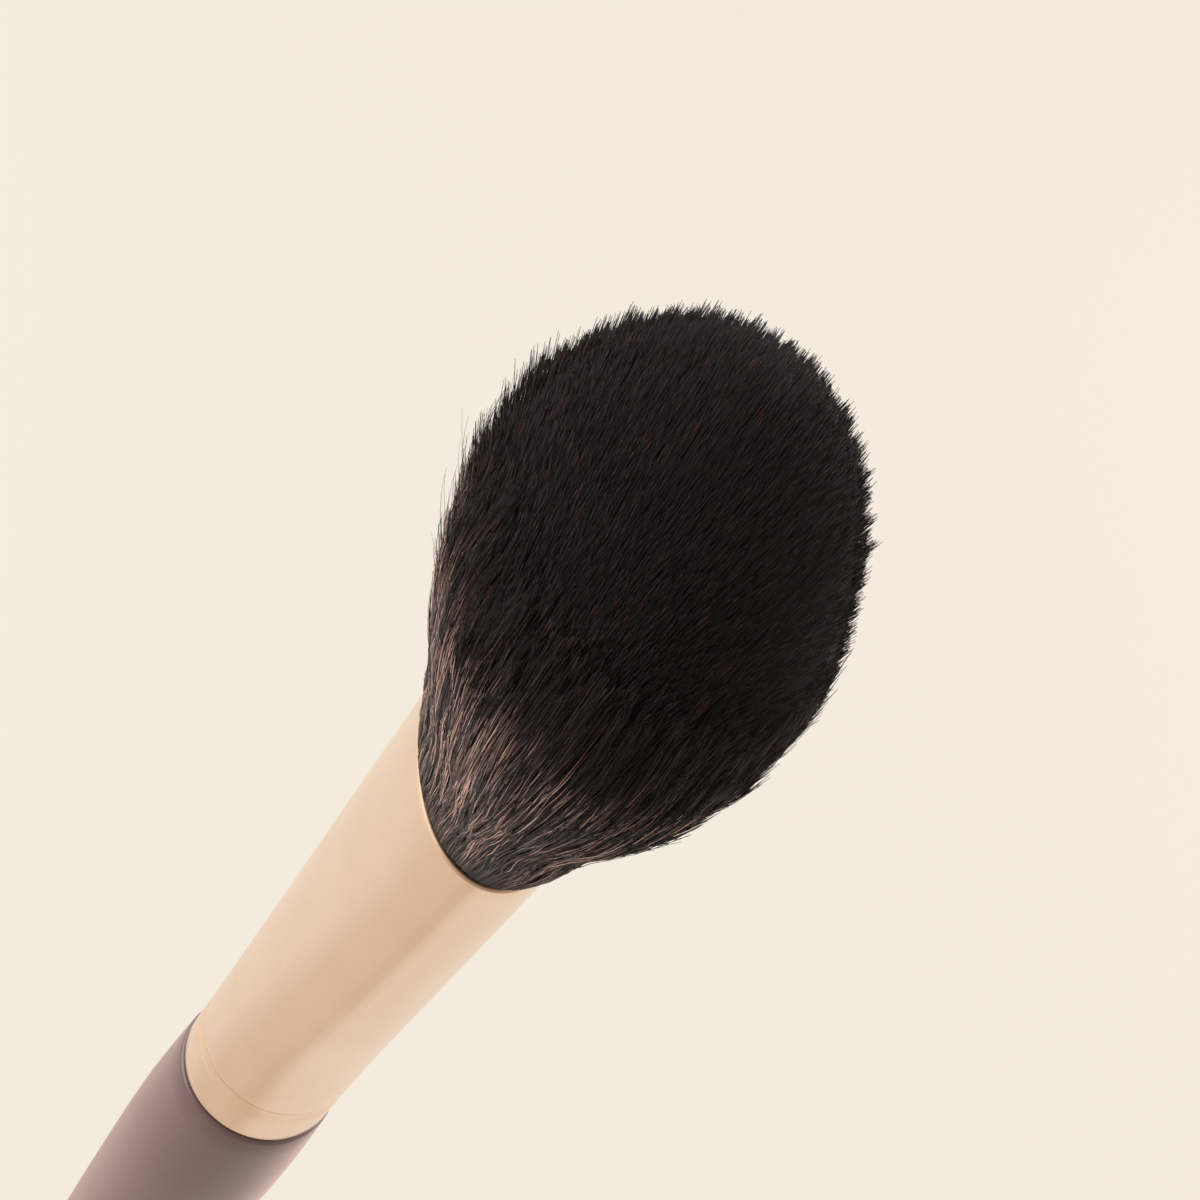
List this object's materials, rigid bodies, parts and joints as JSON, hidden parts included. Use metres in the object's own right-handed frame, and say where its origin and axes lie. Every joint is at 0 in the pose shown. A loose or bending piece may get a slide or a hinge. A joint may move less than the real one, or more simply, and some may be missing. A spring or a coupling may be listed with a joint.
{
  "type": "blush brush",
  "caption": "Make-up brush with a turned lacquered handle, a round-to-oval metal ferrule and a domed bundle of dark hair.",
  "frame": {"origin": "centre of the flat on the butt of the handle", "axes": "+Z along the brush's axis towards the hair tips, X across the wide side of the oval ferrule and head, Y through its narrow side"},
  "size_m": [0.0339, 0.0246, 0.1855],
  "materials": {
    "handle_lacquer": "satin lacquer, dusty mauve",
    "ferrule_metal": "satin anodised, champagne",
    "resin": "cured adhesive, dark amber",
    "thread": "waxed cotton",
    "hair": "fine black-brown fibre with a soft sheen"
  },
  "bodies": {
    "root": {"handle": "handle_lacquer", "ferrule": "ferrule_metal", "glue_plug": "resin", "binding_thread": "thread", "hair_bundle": "hair"}
  },
  "joints": []
}
